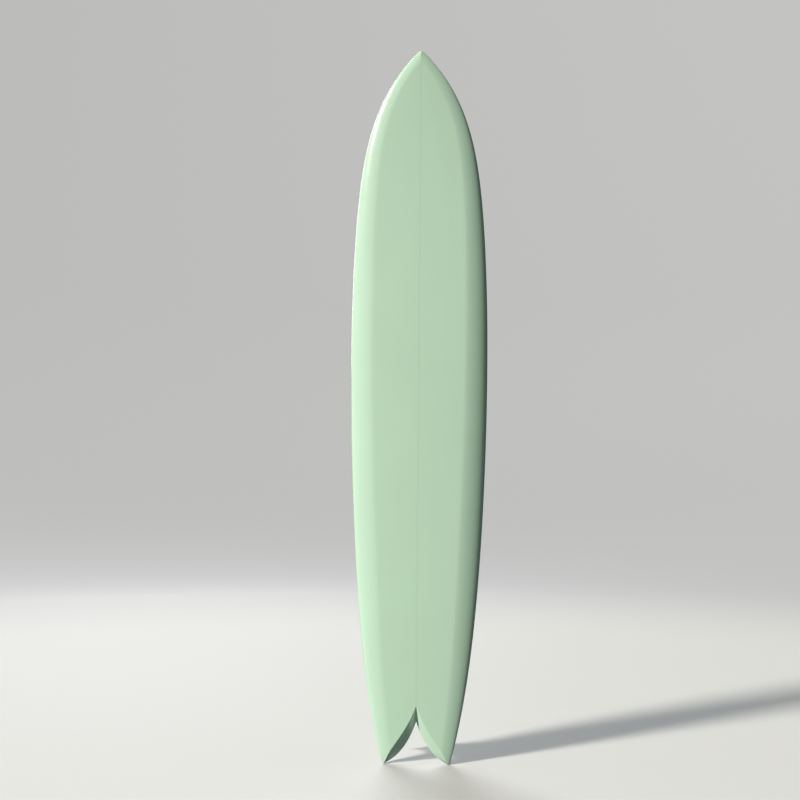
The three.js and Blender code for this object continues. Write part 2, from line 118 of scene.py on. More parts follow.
def fromWidePoint(z):
    nose = z > board["widePoint"]
    reach = np.where(nose, board["length"] - board["widePoint"], board["widePoint"])
    return nose, np.minimum(np.abs(z - board["widePoint"]) / reach, 1)


# half width: a parabola from the wide point that a high power bends in towards each end
def outlineAt(z):
    nose, share = fromWidePoint(z)
    parabola = np.where(nose, board["noseTaper"][0], board["tailTaper"][0])
    power = np.where(nose, board["noseTaper"][1], board["tailTaper"][1])
    end = np.where(nose, board["noseTipWidth"], board["tailSpan"]) / board["width"]
    return board["width"] / 2 * (1 - parabola * share**2 - (1 - parabola - end) * share**power)


# falls from 1 to 0 over the last few millimetres of the nose like a quarter circle
def noseRoundingAt(z):
    nose, share = fromWidePoint(z)
    return np.where(nose, np.sqrt(np.maximum(1 - share ** board["noseRounding"], 0)), 1)


def halfWidthAt(z):
    return outlineAt(z) * noseRoundingAt(z)


# the bottom's middle line: from the middle it drops by a power of the distance to the nose or the tail
def bottomAt(z):
    share = z / (board["length"] / 2) - 1
    nose = board["noseRocker"] * np.maximum(share, 0) ** board["noseRockerPower"]
    tail = board["tailRocker"] * np.maximum(-share, 0) ** board["tailRockerPower"]
    return board["tailThickness"] / 2 + board["tailRocker"] - nose - tail


def thicknessAt(z):
    share = z / (board["length"] / 2) - 1
    end = np.where(share > 0, board["noseThickness"], board["tailThickness"])
    thinner = (board["thickness"] - end) * np.abs(share) ** board["thicknessPower"]
    return (board["thickness"] - thinner) * noseRoundingAt(z)


# width of the rolled rail on the deck, square to the outline and then straight across the board
def railBandAt(z):
    tail, widest, nose = board["railBand"]
    toNose = z > board["railBandPlace"]
    reach = np.where(toNose, board["length"] - board["railBandPlace"], board["railBandPlace"])
    share = np.abs(z - board["railBandPlace"]) / reach
    tailPower, nosePower = board["railBandPower"]
    narrower = (widest - np.where(toNose, nose, tail)) * share ** np.where(toNose, nosePower, tailPower)
    square = widest - narrower
    return square * np.hypot(1, slopeAt(outlineAt, z))


def railTuckAt(z):
    low, high = (share * board["length"] for share in board["railTuckGrows"])
    share = np.clip((z - low) / (high - low), 0, 1)
    tuck = board["railTuck"][0] + np.ptp(board["railTuck"]) * share**2 * (3 - 2 * share)
    return np.minimum(tuck, board["railTuckMost"] * halfWidthAt(z))


# the deck: its height over the bottom is slightly crowned, and rolled down to the rail by a superellipse
def deckAt(x, z):
    halfWidth = np.maximum(halfWidthAt(z), smallest)
    thickness = thicknessAt(z)
    inBand = np.clip((x - halfWidth) / railBandAt(z) + 1, 0, 1)
    roll = (1 - inBand ** board["railRoll"][0]) ** board["railRoll"][1]
    crown = board["deckCrown"] * thickness / board["thickness"] * (x / halfWidth) ** 2
    height = thickness * (board["railApex"] + (1 - board["railApex"]) * roll) - crown * roll
    return bottomAt(z) - height


# the underside: flat, and a quarter ellipse up to the widest line of the rail
def undersideAt(x, z):
    share = np.clip((x - halfWidthAt(z)) / np.maximum(railTuckAt(z), smallest) + 1, 0, 1)
    height = board["railApex"] * thicknessAt(z) * (1 - np.sqrt(1 - share**2))
    return bottomAt(z) - height


def lapAt(z):
    halfWidth = halfWidthAt(z)
    return halfWidth - np.minimum(board["lap"], board["lapMost"] * halfWidth)


# the swallow: walls ruled between an edge on the deck and an edge on the bottom
swallow = {
    "tipLand": 0.007,
    "deckDepth": 0.224,
    "bottomDepth": 0.157,
    "deckPoints": ((1, 0), (0.96, 0.23), (0.32, 0.48), (0, 1)),  # shares of half the gap and of the depth
    "bottomPoints": ((1, 0), (0.35, 0.2), (0, 1)),
    "spans": 260,
    "passes": 12,  # each brings the wall's edges nearer to the deck and the underside
}


# Bernstein form: each point times its binomial weight
def bezier(points, depth, t):
    order = len(points) - 1
    weights = np.stack([math.comb(order, k) * t**k * (1 - t) ** (order - k) for k in range(order + 1)], 1)
    scale = np.array([board["tailSpan"] / 2 - swallow["tipLand"], depth])
    return weights @ (np.array(points, float) * scale)


def makeSwallowEdges():
    t = np.linspace(0, 1, swallow["spans"] + 1)
    onDeck = bezier(swallow["deckPoints"], swallow["deckDepth"], t)
    onBottom = bezier(swallow["bottomPoints"], swallow["bottomDepth"], t)
    deckLevel = bottomAt(onDeck[:, 1]) - thicknessAt(onDeck[:, 1])
    bottomLevel = bottomAt(onBottom[:, 1])

    def wallPoint(share):
        flat = onDeck + (onBottom - onDeck) * share[:, None]
        return np.stack([flat[:, 0], deckLevel + (bottomLevel - deckLevel) * share, flat[:, 1]], 1)

    # the wall meets the rolled deck and the tucked underside a little way along each ruling
    shares = [np.zeros(len(t)), np.ones(len(t))]
    for _ in range(swallow["passes"]):
        for k, surface in enumerate((deckAt, undersideAt)):
            point = wallPoint(shares[k])
            shares[k] = (surface(point[:, 0], point[:, 2]) - deckLevel) / (bottomLevel - deckLevel)
    return wallPoint(shares[0]), wallPoint(shares[1])


deckEdge, bottomEdge = makeSwallowEdges()


def swallowOnDeck(z):
    return np.interp(z, deckEdge[:, 2], deckEdge[:, 0])


def swallowOnBottom(z):
    return np.interp(z, bottomEdge[:, 2], bottomEdge[:, 0])


# four-sided faces over a grid of rows and columns
def gridFaces(rows, columns):
    index = np.arange(rows * columns).reshape(rows, columns)
    faces = np.stack([index[:-1, :-1], index[:-1, 1:], index[1:, 1:], index[1:, :-1]], -1)
    return faces.reshape(-1, 4)


def addPiece(name, points, faces, weld=1e-6):
    mesh = bpy.data.meshes.new(name)
    mesh.from_pydata(np.asarray(points, float).tolist(), [], [list(map(int, face)) for face in faces])
    working = bmesh.new()
    working.from_mesh(mesh)
    bmesh.ops.remove_doubles(working, verts=working.verts, dist=weld)
    working.to_mesh(mesh)
    working.free()
    piece = bpy.data.objects.new(name, mesh)
    bpy.context.scene.collection.objects.link(piece)
    return piece


# gives a piece the mesh that its modifiers make
def applyModifiers(piece):
    evaluated = piece.evaluated_get(bpy.context.evaluated_depsgraph_get())
    mesh = bpy.data.meshes.new_from_object(evaluated)
    piece.modifiers.clear()
    piece.data = mesh


# shades a piece smooth except where two faces meet at more than an angle
def settle(piece, sharpAbove):
    applyModifiers(piece)
    piece.data.name = piece.name
    piece.data.shade_smooth()
    piece.data.set_sharp_from_angle(angle=math.radians(sharpAbove))


def recalculate(piece):
    working = bmesh.new()
    working.from_mesh(piece.data)
    bmesh.ops.recalc_face_normals(working, faces=working.faces)
    working.to_mesh(piece.data)
    working.free()
    return piece


def cut(piece, cutter, operation="DIFFERENCE"):
    modifier = piece.modifiers.new("cut", "BOOLEAN")
    modifier.operation = operation
    modifier.object = cutter
    modifier.solver = "EXACT"
    applyModifiers(piece)
    bpy.data.objects.remove(cutter)
    return piece


def sideName(side):
    return "Left" if side < 0 else "Right"


# a grid for the right half and its mirror image, with the faces of the mirror image turned round
def bothHalves(grid):
    rows, columns = grid.shape[:2]
    right = grid.reshape(-1, 3)
    faces = gridFaces(rows, columns)
    left = right * (-1, 1, 1)
    return np.concatenate([right, left]), np.concatenate([faces, faces[:, ::-1] + len(right)])


skin = {
    "noseTip": 0.044,
    "tailTip": 0.035,
    "cloth": 0.0012,
    "deckColumns": 20,
    "railColumns": 30,
    "tuckColumns": 14,
    "lapColumns": 6,
    "underColumns": 12,
    "leastFlat": 0.25,  # least share of the deck that the rail's roll leaves
    "tailRowsTo": 0.26,
    "noseRowsOver": 0.20,
    "rowsInTail": 56,
    "rowsInMiddle": 150,
    "rowsInNose": 22,
    "rowsInTip": 44,
    "rowsCloseUp": 2.2,  # power that draws the tip's rows together at its end
    "rowsInTailTip": 16,
    "wallColumns": 14,
    "wallRows": 90,
}


def boardRows():
    tail = np.linspace(skin["tailTip"], skin["tailRowsTo"], skin["rowsInTail"], endpoint=False)
    noseStart = board["length"] - skin["noseRowsOver"]
    middle = np.linspace(skin["tailRowsTo"], noseStart, skin["rowsInMiddle"], endpoint=False)
    nose = np.linspace(noseStart, board["length"] - skin["noseTip"], skin["rowsInNose"])
    return np.concatenate([tail, middle, nose])


# columns that run evenly over the deck and close up towards the rail's edge, as a sine does
def deckColumns(z, inner):
    halfWidth = halfWidthAt(z)
    edge = np.maximum(halfWidth - railBandAt(z), inner + skin["leastFlat"] * (halfWidth - inner))
    even = np.linspace(0, 1, skin["deckColumns"], endpoint=False)
    closing = np.sin(np.linspace(0, math.pi / 2, skin["railColumns"] + 1))
    flat = inner[:, None] + (edge - inner)[:, None] * even
    rolled = edge[:, None] + (halfWidth - edge)[:, None] * closing
    return np.concatenate([flat, rolled], 1)


# columns back in from the rail's edge, under the tuck and on to a given place
def underColumns(z, to):
    halfWidth = halfWidthAt(z)
    inside = halfWidth - railTuckAt(z)
    start = np.maximum(inside, to)
    closing = np.sin(np.linspace(math.pi / 2, 0, skin["tuckColumns"] + 1))[1:]
    tucked = start[:, None] + (halfWidth - start)[:, None] * closing
    even = np.linspace(0, 1, skin["lapColumns"] + 1)[1:]
    return np.concatenate([tucked, start[:, None] + (to - start)[:, None] * even], 1)


def onSurface(x, z, surface):
    height = np.broadcast_to(z[:, None], x.shape)
    return np.stack([x * widthFit, surface(x, height), height], -1)


def makeDeckLaminate():
    z = boardRows()
    upper = onSurface(deckColumns(z, swallowOnDeck(z)), z, deckAt)
    lower = onSurface(underColumns(z, np.maximum(lapAt(z), swallowOnBottom(z))), z, undersideAt)
    return shell("deckLaminate", *bothHalves(np.concatenate([upper, lower], 1)))


def makeBottomCoat():
    z = boardRows()
    inner = swallowOnBottom(z)
    start = np.maximum(lapAt(z), inner)
    even = np.linspace(0, 1, skin["underColumns"] + 1)
    x = start[:, None] + (inner - start)[:, None] * even
    return shell("bottomFillerCoat", *bothHalves(onSurface(x, z, undersideAt)))


# a sheet that is given the cloth's thickness inwards
def shell(name, points, faces):
    piece = addPiece(name, points, faces)
    solid = piece.modifiers.new("cloth", "SOLIDIFY")
    solid.thickness = skin["cloth"]
    solid.offset = -1
    return piece


# each ruling's place along the swallow where it crosses a level, found on the two edges' blend
def wallPlaces(shares, level):
    t = np.linspace(0, 1, len(deckEdge))
    heights = deckEdge[:, 2] + (bottomEdge[:, 2] - deckEdge[:, 2]) * shares[:, None]
    return np.stack([np.interp(level, row, t) for row in heights], 1)


# the wall's points for a table of places along it (rows) and the share of the way down (columns)
def wallPoints(places, shares):
    t = np.linspace(0, 1, len(deckEdge))
    upper = np.stack([np.interp(places, t, deckEdge[:, axis]) for axis in range(3)], -1)
    lower = np.stack([np.interp(places, t, bottomEdge[:, axis]) for axis in range(3)], -1)
    return (upper + (lower - upper) * shares[None, :, None]) * (widthFit, 1, 1)


def makeSwallowFacing():
    shares = np.linspace(0, 1, skin["wallColumns"])
    start = wallPlaces(shares, np.array([skin["tailTip"]]))
    places = start + (1 - start) * np.linspace(0, 1, skin["wallRows"])[:, None]
    points, faces = bothHalves(wallPoints(places, shares))
    return shell("swallowFacing", points, faces[:, ::-1])


# the nose's tip, with its length and depth brought inside the frame's box
def makeNoseTip():
    z = board["length"] - skin["noseTip"] * np.linspace(1, 0, skin["rowsInTip"]) ** skin["rowsCloseUp"]
    middle = np.zeros_like(z)
    upper = onSurface(deckColumns(z, middle), z, deckAt)
    lower = onSurface(underColumns(z, middle), z, undersideAt)
    half = np.concatenate([upper, lower], 1)
    start = board["length"] - skin["noseTip"]
    half[..., 2] = start + (half[..., 2] - start) * (cadBounds[1].z - start) / skin["noseTip"]
    half[..., 1] = np.maximum(half[..., 1], cadBounds[0].y)
    mirrored = half[:, -2:0:-1] * (-1, 1, 1)
    return closedLoft("noseTip", np.concatenate([half, mirrored], 1))


def makeTailTip(side):
    z = np.linspace(0, skin["tailTip"], skin["rowsInTailTip"])
    upper = onSurface(deckColumns(z, swallowOnDeck(z)), z, deckAt)
    lower = onSurface(underColumns(z, swallowOnBottom(z)), z, undersideAt)
    shares = np.linspace(1, 0, skin["wallColumns"])[1:-1]
    wall = wallPoints(wallPlaces(shares, z), shares)
    rings = np.concatenate([upper, lower, wall], 1) * (side, 1, 1)
    return closedLoft("tailTip" + sideName(side), rings)


# closed rings joined into a tube, with a flat cap on each end
def closedLoft(name, rings):
    rows, columns = rings.shape[:2]
    looped = np.concatenate([rings, rings[:, :1]], 1)
    points = looped.reshape(-1, 3)
    faces = gridFaces(rows, columns + 1).tolist()
    caps = [list(range(columns))[::-1], [(rows - 1) * (columns + 1) + k for k in range(columns)]]
    return recalculate(addPiece(name, points, faces + caps))


# a fin is made in a frame of its own: x away from the stringer, y out of the bottom, z to the nose
fin = {
    "base": 0.200,
    "depth": 0.125,
    "rootThickness": 0.009,
    "edge": 0.0012,
    "cant": 6,
    "toeIn": 1.5,
    "centre": 0.225,
    "fromRail": 0.062,
    "tipBack": -0.112,
    "tipShorter": 0.0009,  # by which the blade stops short of the depth
    "leadCurve": (2.2, 0.62),  # the superellipse's two powers
    "foilCurve": (0.7, 0.8),  # moves the thickest place forward, and fills the foil out
    "edgeRound": 0.0016,
    "cutaway": 0.012,
    "overhang": 0.020,
    "aboveBoard": 0.0007,
    "tabThickness": 0.0065,
    "tabDepth": 0.011,
    "tabLength": 0.196,
    "tabOverlap": 0.002,
    "rows": 70,
    "columns": 48,
}
box = {
    "slotClearance": 0.00035,
    "wall": 0.0045,
    "floor": 0.0026,
    "top": -0.0003,
    "bossRadius": 0.008,
    "gap": 0.0003,
    "slotTo": 0.001,  # level that the slot is cut up to, past the top
    "hole": (-0.003, 0.018),  # levels along the screw
    "opening": 0.006,  # reach of the skin's openings to both sides of it
    "roundSpans": 24,
}
screw = {
    "radius": 0.003,
    "length": 0.007,
    "tipRadius": 0.0018,
    "spacing": 0.140,
    "tilt": 40,
    "tipDown": 0.0065,
    "tipGap": 0.0004,
    "key": 0.003,
    "socket": 0.003,
    "socketPast": 0.001,
    "headEdge": 0.0005,
    "pitch": 0.001,
    "threadDepth": 0.0004,
    "sides": 48,
    "rows": 60,
}
slotWidth = fin["tabThickness"] + 2 * box["slotClearance"]
slotLength = fin["tabLength"] + 2 * box["slotClearance"]
screwPlaces = {"Front": screw["spacing"] / 2, "Rear": -screw["spacing"] / 2}


# the fin frame's place on the board: tilted with the bottom, turned by the toe-in, mirrored for the left
def finMatrix(side):
    z = fin["centre"]
    slope = float(slopeAt(bottomAt, z))
    place = Vector((float(halfWidthAt(z)) - fin["fromRail"], float(bottomAt(z)), z))
    turn = Euler((-math.atan(slope), math.radians(-fin["toeIn"]), 0), "XYZ")
    matrix = Matrix.Translation(place) @ turn.to_matrix().to_4x4()
    return Matrix.Scale(-1, 4, (1, 0, 0)) @ matrix if side < 0 else matrix


# puts a piece made in the fin's frame on one side of the board
def placed(piece, side, matrix=Matrix.Identity(4)):
    whole = finMatrix(side) @ matrix
    piece.data.transform(whole)
    if whole.determinant() < 0:
        piece.data.flip_normals()
    return piece


# a bar along z with round ends, between two levels of y; equal length and width give a disc
def roundBar(name, length, width, low, high, x=0, z=0):
    angle = np.linspace(0, math.pi, box["roundSpans"] + 1)
    straight = (length - width) / 2
    end = np.stack([width / 2 * np.cos(angle), straight + width / 2 * np.sin(angle)], 1)
    outline = np.concatenate([end, -end]) + (x, z)
    count = len(outline)
    ring = [np.stack([outline[:, 0], np.full(count, level), outline[:, 1]], 1) for level in (low, high)]
    sides = [[k, (k + 1) % count, (k + 1) % count + count, k + count] for k in range(count)]
    caps = [list(range(count))[::-1], list(range(count, 2 * count))]
    return recalculate(addPiece(name, np.concatenate(ring), sides + caps))


# the middle of a screw's flat tip, whose edge stops just short of the fin's tab
def screwTip(z):
    tipReach = screw["tipRadius"] * math.cos(math.radians(screw["tilt"]))
    out = fin["tabThickness"] / 2 + screw["tipGap"] + tipReach
    return Vector((-out, box["top"] - screw["tipDown"], z))


def screwMatrix(z):
    return Matrix.Translation(screwTip(z)) @ Matrix.Rotation(math.radians(screw["tilt"]), 4, "Z")


# the box's outline as a solid bar with a round boss for each screw, grown all round by a margin
def boxOutside(name, larger, low, high):
    width = slotWidth + 2 * box["wall"] + 2 * larger
    length = slotLength + 2 * box["wall"] + 2 * larger
    bar = roundBar(name, length, width, low, high)
    bossOut = screwTip(0).x - screw["tipDown"] * math.tan(math.radians(screw["tilt"]))
    bossWidth = 2 * (box["bossRadius"] + larger)
    for z in screwPlaces.values():
        bar = cut(bar, roundBar("boss", bossWidth, bossWidth, low, high, bossOut, z), "UNION")
    return bar


def makeFinBox(side):
    slotFloor = box["top"] - fin["tabDepth"] - box["slotClearance"]
    piece = boxOutside("finBox" + sideName(side), 0, slotFloor - box["floor"], box["top"])
    piece = cut(piece, roundBar("slot", slotLength, slotWidth, slotFloor, box["slotTo"]))
    holeWidth = 2 * screw["radius"] + 2 * box["gap"]
    for z in screwPlaces.values():
        hole = roundBar("hole", holeWidth, holeWidth, *box["hole"])
        hole.data.transform(screwMatrix(z))
        piece = cut(piece, hole)
    return placed(piece, side)


# the blade: at each share of its depth a section that is flat inside and foiled outside, thickest a
# little over a third of the way back, with round edges
def bladeGrid():
    share = np.sin(np.linspace(0, math.pi / 2, fin["rows"]))[:, None]
    around = np.linspace(0, 1, fin["columns"])
    toTrail = 0.5 - 0.5 * np.cos(math.pi * around)
    toLead = 0.5 + 0.5 * np.cos(math.pi * around[1:-1])
    back = np.concatenate([toTrail, toLead])[None]
    outside = (np.arange(back.shape[1]) < fin["columns"])[None]
    leadPower, leadRoot = fin["leadCurve"]
    lead = fin["tipBack"] + (fin["base"] / 2 - fin["tipBack"]) * (1 - share**leadPower) ** leadRoot
    trail = -fin["base"] / 2 + fin["cutaway"] * np.sin(math.pi * share) - fin["overhang"] * share**2
    thickness = fin["rootThickness"] + (2 * fin["edge"] - fin["rootThickness"]) * share
    forward, fuller = fin["foilCurve"]
    foil = np.maximum(thickness * np.sin(math.pi * back**forward) ** fuller, fin["edge"])
    fromEdge = np.minimum(back, 1 - back) * (lead - trail)
    rounding = np.sqrt(1 - (1 - np.clip(fromEdge / fin["edgeRound"], 0, 1)) ** 2)
    outer = fin["edge"] / 2 + (foil - fin["edge"] / 2) * rounding
    inner = fin["edge"] / 2 * (1 - rounding)
    up = fin["aboveBoard"] + (fin["depth"] - fin["tipShorter"] - fin["aboveBoard"]) * share
    lean = up * math.tan(math.radians(fin["cant"])) - fin["tabThickness"] / 2
    x = lean + np.where(outside, outer, inner)
    z = lead + (trail - lead) * back
    return np.stack(np.broadcast_arrays(x, up, z), -1)


def makeFin(side):
    blade = closedLoft("fin" + sideName(side), bladeGrid())
    tabTop = fin["aboveBoard"] + fin["tabOverlap"]
    tab = roundBar("tab", fin["tabLength"], fin["tabThickness"], -fin["tabDepth"] + box["top"], tabTop)
    piece = cut(blade, tab, "UNION")
    addLayers(piece)
    return placed(piece, side)


# how far each point stands out from the blade's flat inner face, which the layers' lines follow
def addLayers(piece):
    mesh = piece.data
    points = np.zeros(len(mesh.vertices) * 3)
    mesh.vertices.foreach_get("co", points)
    points = points.reshape(-1, 3)
    out = points[:, 0] - points[:, 1] * math.tan(math.radians(fin["cant"])) + fin["tabThickness"] / 2
    layer = mesh.attributes.new("layer", "FLOAT", "POINT")
    layer.data.foreach_set("value", out.astype(np.float32))


# a grub screw turned about y: a helical thread cut into its side, and a hexagonal socket in its head
def makeScrew(side, place, z):
    angle = np.linspace(0, 2 * math.pi, screw["sides"], endpoint=False)
    headEdge = screw["headEdge"]
    coneTop = screw["radius"] - screw["tipRadius"]
    cone = [[0, 0], [screw["tipRadius"], 0], [screw["radius"], coneTop]]
    levels = np.linspace(coneTop, screw["length"] - headEdge, screw["rows"])[1:]
    wall = np.stack([np.full(len(levels), screw["radius"]), levels], 1)
    head = [[screw["radius"] - headEdge, screw["length"]], [0, screw["length"]]]
    profile = np.concatenate([cone, wall, head])
    out = profile[:, 0:1]
    along = profile[:, 1:2]
    phase = along / screw["pitch"] - angle[None] / (2 * math.pi)
    groove = screw["threadDepth"] * np.abs(2 * (phase % 1) - 1)
    threaded = (out > screw["radius"] - headEdge / 2) & (along > coneTop)
    radius = out - np.where(threaded, groove, 0)
    rings = np.stack([radius * np.cos(angle), along + 0 * angle, radius * np.sin(angle)], -1)
    piece = closedLoft("finScrew" + sideName(side) + place, rings)
    reach = screw["key"] / math.sqrt(3)
    corner = np.radians(np.arange(6) * 60)
    hexagon = [np.stack([reach * np.cos(corner), np.full(6, level), reach * np.sin(corner)], 1)
               for level in (screw["length"] - screw["socket"], screw["length"] + screw["socketPast"])]
    piece = cut(piece, closedLoft("socket", np.stack(hexagon)))
    return placed(piece, side, screwMatrix(z))


# a socket's value; sums, products and the like each add one Math node
class Signal:
    def __init__(self, finish, socket):
        self.finish = finish
        self.socket = socket

    def math(self, operation, *values):
        return self.finish.add("ShaderNodeMath", {"operation": operation}, dict(enumerate(values)))

    def __add__(self, other):
        return self.math("ADD", self, other)

    __radd__ = __add__

    def __sub__(self, other):
        return self.math("SUBTRACT", self, other)

    def __rsub__(self, other):
        return self.math("SUBTRACT", other, self)

    def __mul__(self, other):
        return self.math("MULTIPLY", self, other)

    __rmul__ = __mul__

    def __truediv__(self, other):
        return self.math("DIVIDE", self, other)

    def __pow__(self, other):
        return self.math("POWER", self, other)

    def __abs__(self):
        return self.math("ABSOLUTE", self)

    def fraction(self):
        return self.math("FRACT", self)

    def sine(self):
        return self.math("SINE", self)


# the nodes of a material or a world
class NodeTree:
    def __init__(self, tree):
        self.tree = tree

    # any node: its settings first, then the values or links of its sockets
    def make(self, kind, settings=None, sockets=None):
        node = self.tree.nodes.new(kind)
        for name, value in (settings or {}).items():
            if name == "stops":
                self.setStops(node, value)
            else:
                setattr(node, name, value)
        for name, value in (sockets or {}).items():
            self.feed(node.inputs[name], value)
        return node

    def add(self, kind, settings=None, sockets=None, output=0):
        return Signal(self, self.make(kind, settings, sockets).outputs[output])

    def setStops(self, node, stops):
        elements = node.color_ramp.elements
        while len(elements) < len(stops):
            elements.new(1)
        for element, (position, value) in zip(elements, stops):
            element.position = position
            element.color = (value, value, value, 1) if isinstance(value, (int, float)) else (*value, 1)

    def feed(self, socket, value):
        if isinstance(value, Signal):
            self.tree.links.new(value.socket, socket)
        elif socket.type == "RGBA" and len(value) == 3:
            socket.default_value = (*value, 1)
        else:
            socket.default_value = value

    def blend(self, factor, first, second):
        return self.add("ShaderNodeMix", {"data_type": "RGBA"}, {0: factor, 6: first, 7: second}, 2)


# a material with one principled shader, whose fixed sockets are given by name
class Finish(NodeTree):
    def __init__(self, name, **constants):
        self.material = bpy.data.materials.new(name)
        self.material.use_nodes = True
        super().__init__(self.material.node_tree)
        self.tree.nodes.clear()
        fixed = {socket.replace("_", " "): value for socket, value in constants.items()}
        self.shader = self.make("ShaderNodeBsdfPrincipled", sockets=fixed)
        self.make("ShaderNodeOutputMaterial", sockets={0: Signal(self, self.shader.outputs[0])})
        self.place = self.add("ShaderNodeTexCoord", output="Object")

    def along(self, axis):
        return self.add("ShaderNodeSeparateXYZ", sockets={0: self.place}, output="XYZ".index(axis))

    def stretched(self, scale):
        return self.add("ShaderNodeMapping", sockets={"Vector": self.place, "Scale": scale})

    def noise(self, scale, detail=3, roughness=0.5, at=None):
        sockets = {"Vector": at or self.place, "Scale": scale, "Detail": detail, "Roughness": roughness}
        return self.add("ShaderNodeTexNoise", sockets=sockets)

    def ramp(self, value, *stops):
        return self.add("ShaderNodeValToRGB", {"stops": stops}, {0: value})

    # crossing threads: the product of a sine along each of two axes, brought between 0 and 1
    def weave(self, across, along, turn):
        return 0.5 + 0.5 * (self.along(across) * turn).sine() * (self.along(along) * turn).sine()

    def bump(self, height, distance, strength):
        sockets = {"Height": height, "Distance": distance, "Strength": strength}
        normal = self.add("ShaderNodeBump", sockets=sockets)
        self.feed(self.shader.inputs["Normal"], normal)

    def set(self, **sockets):
        for name, value in sockets.items():
            self.feed(self.shader.inputs[name.replace("_", " ")], value)
        return self.material


resin = {
    "mint": (0.545, 0.765, 0.58),
    "stringerTone": (0.475, 0.67, 0.50),
    "bottomMint": (0.52, 0.735, 0.55),
    "scuffTone": (0.30, 0.34, 0.27),
    "cloudShade": 0.955,
    "cloudStrength": 0.6,
    "streakStrength": 0.25,
    "stringerReach": 0.008,  # over which the line fades to each side
    "stringerWander": 0.0008,
    "stringerStrength": 0.6,
    "scuffsUpTo": 0.05,
    "scuffStrength": 0.5,
    "scuffRoughness": 0.3,
    "roughness": 0.16,
    "coat": 0.7,
    "coatRoughness": 0.04,
    "waveHeight": 0.0006,
    "waveStrength": 0.35,
}


# opaque pigmented resin under a polished gloss coat: faint clouds of pigment, a darker line where the
# stringer shows, and scuffs where the tail stands
def makeResin(name, mint):
    finish = Finish(name, Coat_Weight=resin["coat"], Coat_Roughness=resin["coatRoughness"], IOR=1.5)
    clouds = finish.ramp(finish.noise(2.2, 4, 0.55), (0.35, 0), (0.65, 1))
    streaks = finish.ramp(finish.noise(9, 3, 0.5, finish.stretched((1, 1, 0.22))), (0.4, 0), (0.62, 1))
    deeper = tuple(shade * resin["cloudShade"] for shade in mint)
    colour = finish.blend(clouds * resin["cloudStrength"] + streaks * resin["streakStrength"], mint, deeper)
    fromStringer = abs(finish.along("X"))
    wander = finish.noise(1.3, 2, 0.5, finish.stretched((0, 0, 1))) * resin["stringerWander"]
    line = finish.ramp((fromStringer + wander) / resin["stringerReach"], (0.15, 1), (0.85, 0))
    grain = 0.62 + 0.38 * finish.noise(60, 2, 0.5, finish.stretched((1, 1, 0.05)))
    colour = finish.blend(line * grain * resin["stringerStrength"], colour, resin["stringerTone"])
    low = finish.ramp(finish.along("Z") / resin["scuffsUpTo"], (0.1, 1), (0.9, 0))
    scuffs = low * finish.ramp(finish.noise(160, 5, 0.7), (0.5, 0), (0.62, 1))
    colour = finish.blend(scuffs * resin["scuffStrength"], colour, resin["scuffTone"])
    polish = finish.noise(14, 5, 0.6)
    rough = resin["roughness"] * (0.75 + 0.5 * polish) + scuffs * resin["scuffRoughness"]
    waves = finish.noise(3.5, 2, 0.4) + 0.12 * finish.noise(45, 2, 0.4)
    finish.bump(waves, resin["waveHeight"], resin["waveStrength"])
    return finish.set(Base_Color=colour, Roughness=rough)


finGlass = {
    "smoke": (0.17, 0.23, 0.20),
    "deepSmoke": (0.12, 0.17, 0.15),
    "thread": (0.25, 0.32, 0.285),
    "layerLine": (0.46, 0.54, 0.49),
    "layerSpacing": 0.0011,
    "layerWander": 0.00035,
    "weave": 3400,  # radians to a metre
}


# smoky fibreglass: a fine weave, and lines where the foil has cut through the layers of cloth
def makeFinFibreglass():
    finish = Finish("finFibreglass", Coat_Weight=0.6, Coat_Roughness=0.05, IOR=1.52)
    layer = finish.add("ShaderNodeAttribute", {"attribute_name": "layer"}, output="Fac")
    wander = finish.noise(40, 3, 0.5) * finGlass["layerWander"]
    contour = abs(((layer + wander) / finGlass["layerSpacing"]).fraction() - 0.5) * 2
    lines = finish.ramp(contour, (0.02, 1), (0.16, 0))
    weave = finish.weave("Y", "Z", finGlass["weave"])
    colour = finish.blend(weave * 0.35, finGlass["smoke"], finGlass["thread"])
    smoke = finish.ramp(finish.noise(16, 4), (0.4, 0), (0.65, 1))
    colour = finish.blend(smoke * 0.3, colour, finGlass["deepSmoke"])
    colour = finish.blend(lines * 0.5, colour, finGlass["layerLine"])
    finish.bump(weave, 0.00004, 0.5)
    return finish.set(Base_Color=colour, Roughness=0.16 + 0.14 * finish.noise(30, 4))


plastic = {"new": (0.78, 0.80, 0.75), "yellowed": (0.72, 0.73, 0.64), "grain": 1500}


# moulded plastic: fine grain from the tool, slightly yellowed in patches
def makeBoxPlastic():
    finish = Finish("finBoxPlastic", IOR=1.49)
    patches = finish.ramp(finish.noise(25, 3), (0.4, 0), (0.62, 1))
    colour = finish.blend(patches * 0.5, plastic["new"], plastic["yellowed"])
    grain = finish.noise(plastic["grain"], 3, 0.6)
    finish.bump(grain, 0.00003, 0.6)
    return finish.set(Base_Color=colour, Roughness=0.36 + 0.16 * grain)


steel = {"dark": (0.50, 0.51, 0.52), "light": (0.66, 0.67, 0.68), "marks": 5200}


# turned stainless steel: fine rings left by the tool
def makeSteel():
    finish = Finish("stainlessSteel", Metallic=1.0)
    marks = finish.noise(steel["marks"], 3, 0.6, finish.stretched((1, 0.2, 1)))
    colour = finish.blend(marks, steel["dark"], steel["light"])
    finish.bump(marks, 0.00001, 0.5)
    return finish.set(Base_Color=colour, Roughness=0.22 + 0.16 * marks)


foams = {
    "whiteFoam": {"light": (0.90, 0.89, 0.82), "dark": (0.80, 0.77, 0.66), "cells": 1400},  # cells to a metre
    "denseFoam": {"light": (0.74, 0.62, 0.34), "dark": (0.60, 0.47, 0.22), "cells": 2600},
}


